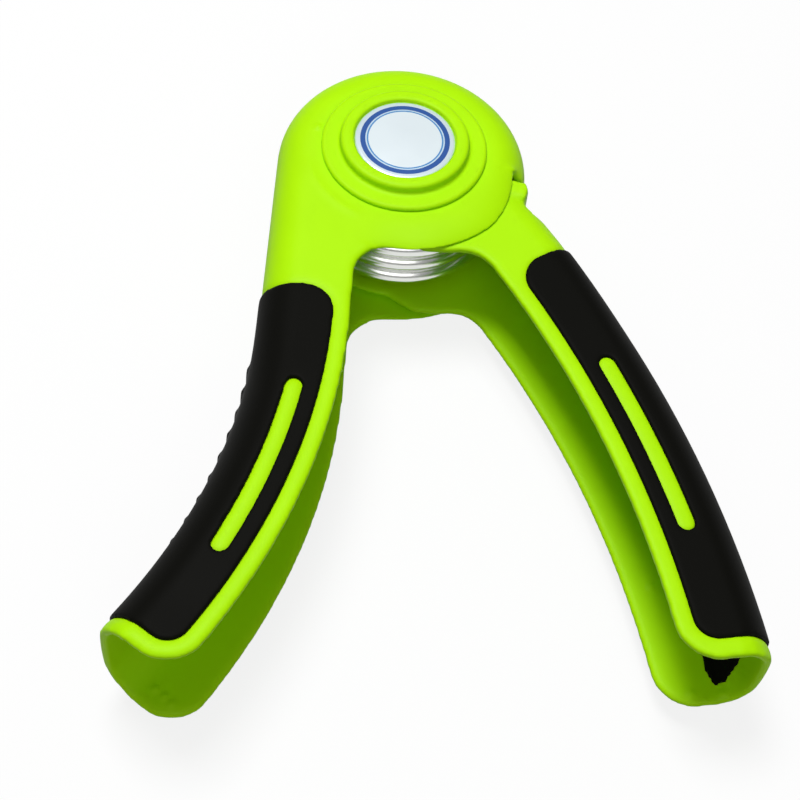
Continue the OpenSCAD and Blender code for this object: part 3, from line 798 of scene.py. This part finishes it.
class HANDGRIP_OT_hardware(bpy.types.Operator):
    """Finish the pivot's steel and moulded parts"""

    bl_idname = "handgrip.hardware"
    bl_label = "Pivot hardware"

    def execute(self, context):
        zinc = zinc_steel()
        for name in ("pivot_sleeve", "pivot_bolt", "lock_nut", "front_washer", "back_washer"):
            dress(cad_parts[name], zinc)
        acetal = plain_moulding("natural_acetal", "#D9D4C6", "#E4E0D4", 0.38, 0.5)
        for name in ("front_bush", "back_bush"):
            dress(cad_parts[name], acetal)
        dress(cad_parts["spring_spool"],
              plain_moulding("black_nylon", "#161616", "#1E1E1D", 0.5, 0.65))
        return {"FINISHED"}


def lamp(name, at, size, power):
    """A soft square lamp at a place, turned to the object."""
    bpy.ops.object.light_add(type="AREA", location=at)
    made = bpy.context.object
    made.name = name
    made.data.size = size
    made.data.energy = power
    made.rotation_euler = (LAMP_AIM - Vector(at)).to_track_quat("-Z", "Y").to_euler()


class HANDGRIP_OT_stage(bpy.types.Operator):
    """Lay the pale floor, the soft lamps and the camera"""

    bl_idname = "handgrip.stage"
    bl_label = "Stage"

    def execute(self, context):
        scene = context.scene
        bpy.ops.object.select_all(action="DESELECT")
        bpy.ops.mesh.primitive_plane_add(size=FLOOR_SIZE, location=(0, 0, -FLOOR_DROP))
        floor = context.object
        floor.name = "floor"
        material = bpy.data.materials.new("pale_paper")
        material.use_nodes = True
        tree = material.node_tree
        tree.nodes.clear()
        glow = add(tree, "ShaderNodeEmission", {"Color": (1, 1, 1, 1), "Strength": 1.0})
        path = add(tree, "ShaderNodeLightPath")
        seen = add(tree, "ShaderNodeMath", {0: path.outputs["Is Camera Ray"],
                                            1: path.outputs["Is Glossy Ray"]}, operation="MAXIMUM")
        shade = add(tree, "ShaderNodeMix", {0: seen.outputs[0], 6: linear("#8A8A8A"),
                                            7: tuple(scene.grip_colours.floor)}, data_type="RGBA")
        paper = add(tree, "ShaderNodeBsdfDiffuse", {"Color": shade.outputs[2]})
        share = add(tree, "ShaderNodeMath", {0: seen.outputs[0], 1: FLOOR_GLOW},
                    operation="MULTIPLY")
        mixed = add(tree, "ShaderNodeMixShader", {0: share.outputs[0], 1: paper.outputs[0],
                                                  2: glow.outputs[0]})
        add(tree, "ShaderNodeOutputMaterial", {"Surface": mixed.outputs[0]})
        dress(floor, material)
        world = bpy.data.worlds.new("studio")
        world.use_nodes = True
        tree = world.node_tree
        tree.nodes.clear()
        path = add(tree, "ShaderNodeLightPath")
        seen = add(tree, "ShaderNodeMath", {0: path.outputs["Is Camera Ray"],
                                            1: path.outputs["Is Transmission Ray"]},
                   operation="MAXIMUM")
        shine = add(tree, "ShaderNodeMath", {0: path.outputs["Is Glossy Ray"], 1: WORLD_GLOSS},
                    operation="MULTIPLY")
        lit = add(tree, "ShaderNodeMath", {0: seen.outputs[0], 1: shine.outputs[0]},
                  operation="MAXIMUM")
        level = add(tree, "ShaderNodeMapRange", {"Value": lit.outputs[0], "To Min": WORLD_FILL,
                                                 "To Max": 1.0})
        air = add(tree, "ShaderNodeBackground", {"Color": (1, 1, 1, 1),
                                                 "Strength": level.outputs[0]})
        add(tree, "ShaderNodeOutputWorld", {"Surface": air.outputs[0]})
        scene.world = world
        for name, at, size, power in LAMPS:
            lamp(name, at, size, power)
        scene.view_settings.view_transform = "Standard"
        bpy.ops.object.camera_add()
        camera = context.object
        camera.name = "camera"
        camera.data.lens = LENS
        camera.data.sensor_width = SENSOR
        camera.data.clip_start = 0.01
        camera.data.clip_end = 20
        turn = Matrix((CAMERA_X, CAMERA_Y, CAMERA_Z)).transposed()
        camera.matrix_world = Matrix.Translation(CAMERA_AT) @ turn.to_4x4()
        scene.camera = camera
        return {"FINISHED"}


class HANDGRIP_PT_panel(bpy.types.Panel):
    """Lists the grip's settings and the operators that make it"""

    bl_idname = "HANDGRIP_PT_panel"
    bl_label = "Hand grip"
    bl_space_type = "VIEW_3D"
    bl_region_type = "UI"
    bl_category = "Hand grip"

    def draw(self, context):
        for group in (context.scene.grip_shape, context.scene.grip_colours):
            for name in group.__annotations__:
                self.layout.prop(group, name)
        for operator in OPERATORS:
            self.layout.operator(operator.bl_idname)


GROUPS = (GripShape, GripColours)
OPERATORS = (HANDGRIP_OT_handles, HANDGRIP_OT_grips, HANDGRIP_OT_spring, HANDGRIP_OT_badge,
             HANDGRIP_OT_hardware, HANDGRIP_OT_stage)


def register():
    """Registers the classes and the settings they read."""
    for made in (*GROUPS, *OPERATORS, HANDGRIP_PT_panel):
        bpy.utils.register_class(made)
    bpy.types.Scene.grip_shape = PointerProperty(type=GripShape)
    bpy.types.Scene.grip_colours = PointerProperty(type=GripColours)


def unregister():
    """Takes the settings and classes away again."""
    del bpy.types.Scene.grip_colours
    del bpy.types.Scene.grip_shape
    for made in reversed((*GROUPS, *OPERATORS, HANDGRIP_PT_panel)):
        bpy.utils.unregister_class(made)


def main():
    """Makes every piece in order."""
    register()
    for name in ("handles", "grips", "spring", "badge", "hardware", "stage"):
        getattr(bpy.ops.handgrip, name)()


if __name__ == "__main__":
    main()
